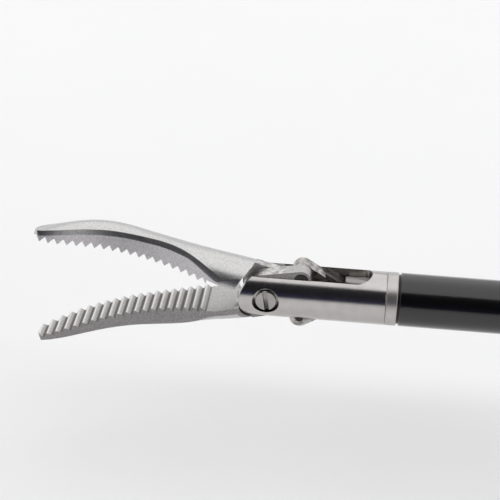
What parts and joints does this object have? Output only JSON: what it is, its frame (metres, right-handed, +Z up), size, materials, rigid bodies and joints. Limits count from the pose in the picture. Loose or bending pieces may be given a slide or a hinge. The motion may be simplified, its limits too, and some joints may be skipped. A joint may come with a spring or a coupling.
{
  "type": "maryland dissector",
  "caption": "Working end of a 5 mm curved grasping dissector: toothed jaws, pivot clevis, push-rod linkage and insulated shaft section with a screwed coupling.",
  "frame": {"origin": "centre of the coupling's rear shoulder, where the threaded spigot leaves the flange", "axes": "+X back along the shaft and out of the coupling, +Z up, Y along the pivot screw; the jaws point to -X"},
  "size_m": [0.0651, 0.0057, 0.012],
  "materials": {
    "turned_steel": "fine turned and brushed",
    "polished_steel": "polished",
    "forged_steel": "polished back, matte blasted teeth and sides",
    "satin_steel": "satin",
    "rod_steel": "centreless ground",
    "collar_steel": "fine turned",
    "tube_steel": "drawn tube",
    "coupling_steel": "turned",
    "bush_polymer": "natural high-temperature polymer",
    "seal_rubber": "moulded",
    "insulation": "smooth black heat-shrunk polymer"
  },
  "bodies": {
    "shaft": {"clevis": "turned_steel", "pivot_screw": "polished_steel", "collar": "collar_steel", "guide_bush": "bush_polymer", "rod_seal": "seal_rubber", "seal_retainer": "satin_steel", "shaft_tube": "tube_steel", "insulation_sleeve": "insulation", "coupling": "coupling_steel", "rear_guide_bush": "bush_polymer", "coupling_seal": "seal_rubber"},
    "upper_jaw": {"upper_jaw": "forged_steel", "upper_knuckle_pin": "polished_steel"},
    "lower_jaw": {"lower_jaw": "forged_steel", "lower_knuckle_pin": "polished_steel"},
    "upper_link": {"upper_link": "satin_steel"},
    "lower_link": {"lower_link": "satin_steel"},
    "rod": {"rod_head": "satin_steel", "rod_pin": "polished_steel", "drive_rod": "rod_steel", "rod_ball": "polished_steel"}
  },
  "joints": [
    {"name": "upper_jaw_pivot", "type": "hinge", "parent": "shaft", "child": "upper_jaw", "pos_m": [-0.034, 0, 0], "axis": [0, 1, 0], "range_deg": [-14, 10]},
    {"name": "lower_jaw_pivot", "type": "hinge", "parent": "shaft", "child": "lower_jaw", "pos_m": [-0.034, 0, 0], "axis": [0, -1, 0], "range_deg": [-14, 10]},
    {"name": "upper_link_pivot", "type": "hinge", "parent": "upper_jaw", "child": "upper_link", "pos_m": [-0.03085, 0, -0.00197], "axis": [0, -1, 0], "range_deg": [-28, 20]},
    {"name": "lower_link_pivot", "type": "hinge", "parent": "lower_jaw", "child": "lower_link", "pos_m": [-0.03085, 0, 0.00197], "axis": [0, 1, 0], "range_deg": [-28, 20]},
    {"name": "rod_slide", "type": "slide", "parent": "shaft", "child": "rod", "axis": [-1, 0, 0], "range_m": [-0.00091, 0.00065]}
  ],
  "couplings": [
    {"joint": "lower_jaw_pivot", "follows": "upper_jaw_pivot", "ratio": 1},
    {"joint": "upper_link_pivot", "follows": "upper_jaw_pivot", "ratio": 2},
    {"joint": "lower_link_pivot", "follows": "upper_jaw_pivot", "ratio": 2},
    {"joint": "rod_slide", "follows": "upper_jaw_pivot", "m_per_rad": 0.00369}
  ]
}
